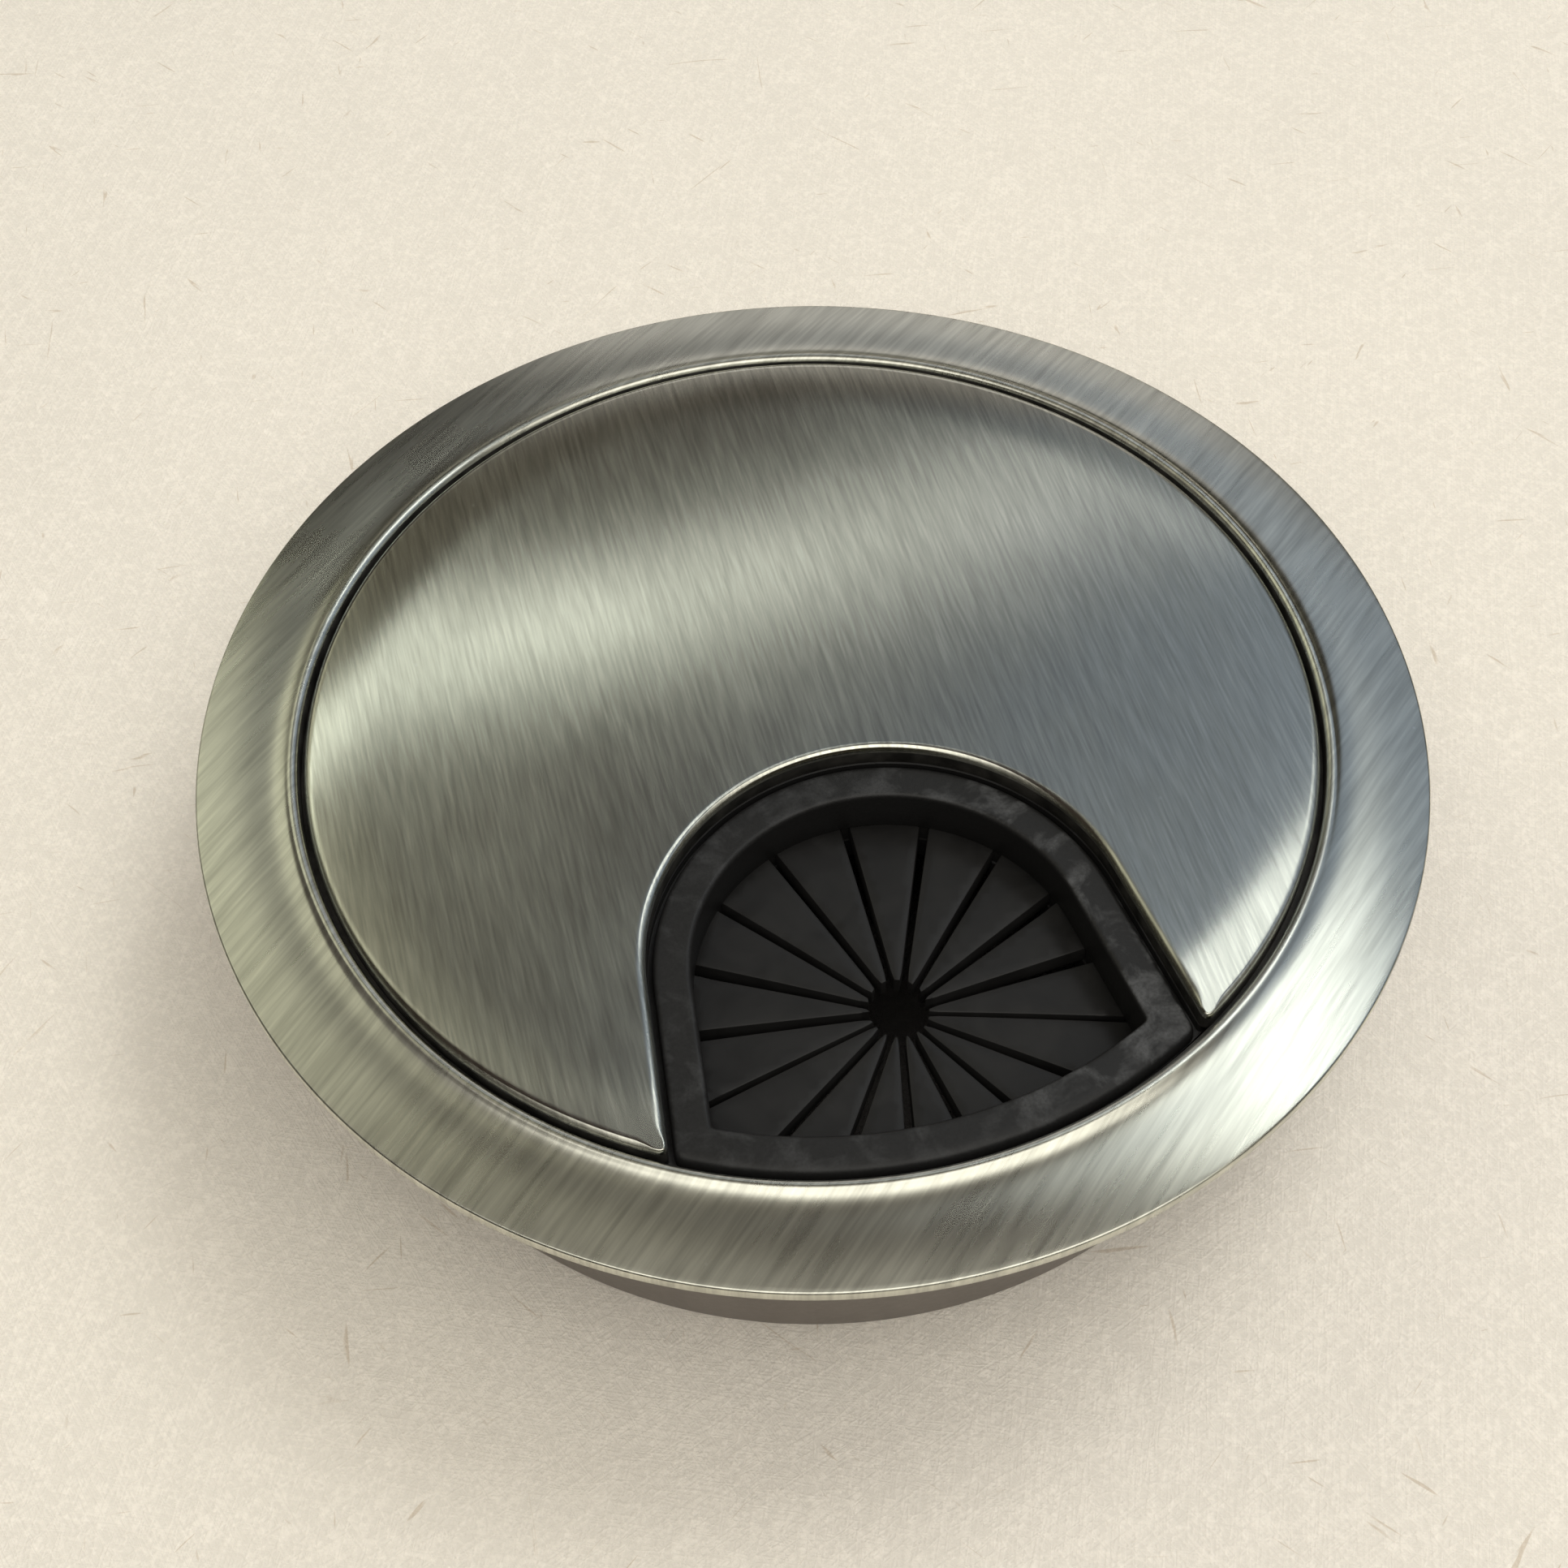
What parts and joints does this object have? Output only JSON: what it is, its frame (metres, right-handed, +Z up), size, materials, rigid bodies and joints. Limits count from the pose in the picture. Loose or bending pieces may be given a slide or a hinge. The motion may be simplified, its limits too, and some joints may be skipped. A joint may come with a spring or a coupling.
{
  "type": "desk cable grommet",
  "caption": "Round desk grommet: a brushed metal ring for a 60 mm hole, a metal cap that turns or lifts out, and a cable port closed by slit rubber flaps.",
  "frame": {"origin": "centre of the sleeve's foot, on the surface that the grommet stands on", "axes": "+Z up through the cap; the cable port opens towards -Y; +X to the right seen from the port's side"},
  "size_m": [0.07, 0.07, 0.0177],
  "materials": {
    "satin_nickel_ring": "brushed satin nickel plate",
    "satin_nickel_cap": "brushed satin nickel plate",
    "black_plastic": "matte moulded",
    "black_rubber": "matte moulded",
    "glide_plastic": "matte moulded",
    "plated_screw": "bright plated"
  },
  "bodies": {
    "ring": {"outer_ring": "satin_nickel_ring"},
    "glide": {"glide_ring": "glide_plastic"},
    "cap": {"cap_plate": "satin_nickel_cap", "cap_carrier": "black_plastic", "cap_screws": "plated_screw", "diaphragm_rim": "black_rubber", "diaphragm_retainer": "black_plastic", "retainer_screws": "plated_screw"},
    "flap_01": {"flap_01": "black_rubber"},
    "flap_02": {"flap_02": "black_rubber"},
    "flap_03": {"flap_03": "black_rubber"},
    "flap_04": {"flap_04": "black_rubber"},
    "flap_05": {"flap_05": "black_rubber"},
    "flap_06": {"flap_06": "black_rubber"},
    "flap_07": {"flap_07": "black_rubber"},
    "flap_08": {"flap_08": "black_rubber"},
    "flap_09": {"flap_09": "black_rubber"},
    "flap_10": {"flap_10": "black_rubber"},
    "flap_11": {"flap_11": "black_rubber"},
    "flap_12": {"flap_12": "black_rubber"},
    "flap_13": {"flap_13": "black_rubber"},
    "flap_14": {"flap_14": "black_rubber"},
    "flap_15": {"flap_15": "black_rubber"},
    "flap_16": {"flap_16": "black_rubber"},
    "flap_17": {"flap_17": "black_rubber"}
  },
  "joints": [
    {"name": "cap_turn", "type": "hinge", "parent": "ring", "child": "glide", "pos_m": [0, 0, 0.0144], "axis": [0, 0, 1], "continuous": true},
    {"name": "cap_lift", "type": "slide", "parent": "glide", "child": "cap", "axis": [0, 0, 1], "range_m": [0, 0.02]},
    {"name": "flap_01_bend", "type": "hinge", "parent": "cap", "child": "flap_01", "pos_m": [0.00249, -0.00676, 0.01295], "axis": [0.9675, -0.2528, 0], "range_deg": [-60, 75], "stiffness_Nm_per_rad": 0.0003},
    {"name": "flap_02_bend", "type": "hinge", "parent": "cap", "child": "flap_02", "pos_m": [0.00617, -0.00859, 0.01295], "axis": [0.7809, -0.6246, 0], "range_deg": [-60, 75], "stiffness_Nm_per_rad": 0.0003},
    {"name": "flap_03_bend", "type": "hinge", "parent": "cap", "child": "flap_03", "pos_m": [0.00873, -0.01167, 0.01295], "axis": [0.4689, -0.8833, 0], "range_deg": [-60, 75], "stiffness_Nm_per_rad": 0.0003},
    {"name": "flap_04_bend", "type": "hinge", "parent": "cap", "child": "flap_04", "pos_m": [0.00999, -0.01538, 0.01295], "axis": [0.1582, -0.9874, 0], "range_deg": [-60, 75], "stiffness_Nm_per_rad": 0.0003},
    {"name": "flap_05_bend", "type": "hinge", "parent": "cap", "child": "flap_05", "pos_m": [0.01058, -0.01956, 0.01295], "axis": [0.1236, -0.9923, 0], "range_deg": [-60, 75], "stiffness_Nm_per_rad": 0.0003},
    {"name": "flap_06_bend", "type": "hinge", "parent": "cap", "child": "flap_06", "pos_m": [0.00951, -0.02278, 0.01295], "axis": [-0.6966, -0.7175, 0], "range_deg": [-60, 75], "stiffness_Nm_per_rad": 0.0003},
    {"name": "flap_07_bend", "type": "hinge", "parent": "cap", "child": "flap_07", "pos_m": [0.00631, -0.02468, 0.01295], "axis": [-0.9689, -0.2476, 0], "range_deg": [-60, 75], "stiffness_Nm_per_rad": 0.0003},
    {"name": "flap_08_bend", "type": "hinge", "parent": "cap", "child": "flap_08", "pos_m": [0.00278, -0.02535, 0.01295], "axis": [-0.994, -0.1092, 0], "range_deg": [-60, 75], "stiffness_Nm_per_rad": 0.0003},
    {"name": "flap_09_bend", "type": "hinge", "parent": "cap", "child": "flap_09", "pos_m": [-0.00032, -0.0255, 0.01295], "axis": [-0.9999, 0.0124, 0], "range_deg": [-60, 75], "stiffness_Nm_per_rad": 0.0003},
    {"name": "flap_10_bend", "type": "hinge", "parent": "cap", "child": "flap_10", "pos_m": [-0.00346, -0.02526, 0.01295], "axis": [-0.9907, 0.1359, 0], "range_deg": [-60, 75], "stiffness_Nm_per_rad": 0.0003},
    {"name": "flap_11_bend", "type": "hinge", "parent": "cap", "child": "flap_11", "pos_m": [-0.00714, -0.02444, 0.01295], "axis": [-0.9599, 0.2804, 0], "range_deg": [-60, 75], "stiffness_Nm_per_rad": 0.0003},
    {"name": "flap_12_bend", "type": "hinge", "parent": "cap", "child": "flap_12", "pos_m": [-0.00982, -0.02226, 0.01295], "axis": [-0.4618, 0.887, 0], "range_deg": [-60, 75], "stiffness_Nm_per_rad": 0.0003},
    {"name": "flap_13_bend", "type": "hinge", "parent": "cap", "child": "flap_13", "pos_m": [-0.01047, -0.01865, 0.01295], "axis": [0.1236, 0.9923, 0], "range_deg": [-60, 75], "stiffness_Nm_per_rad": 0.0003},
    {"name": "flap_14_bend", "type": "hinge", "parent": "cap", "child": "flap_14", "pos_m": [-0.0098, -0.01458, 0.01295], "axis": [0.2005, 0.9797, 0], "range_deg": [-60, 75], "stiffness_Nm_per_rad": 0.0003},
    {"name": "flap_15_bend", "type": "hinge", "parent": "cap", "child": "flap_15", "pos_m": [-0.00831, -0.01095, 0.01295], "axis": [0.541, 0.841, 0], "range_deg": [-60, 75], "stiffness_Nm_per_rad": 0.0003},
    {"name": "flap_16_bend", "type": "hinge", "parent": "cap", "child": "flap_16", "pos_m": [-0.00547, -0.00809, 0.01295], "axis": [0.8319, 0.5549, 0], "range_deg": [-60, 75], "stiffness_Nm_per_rad": 0.0003},
    {"name": "flap_17_bend", "type": "hinge", "parent": "cap", "child": "flap_17", "pos_m": [-0.00165, -0.00658, 0.01295], "axis": [0.986, 0.167, 0], "range_deg": [-60, 75], "stiffness_Nm_per_rad": 0.0003}
  ]
}
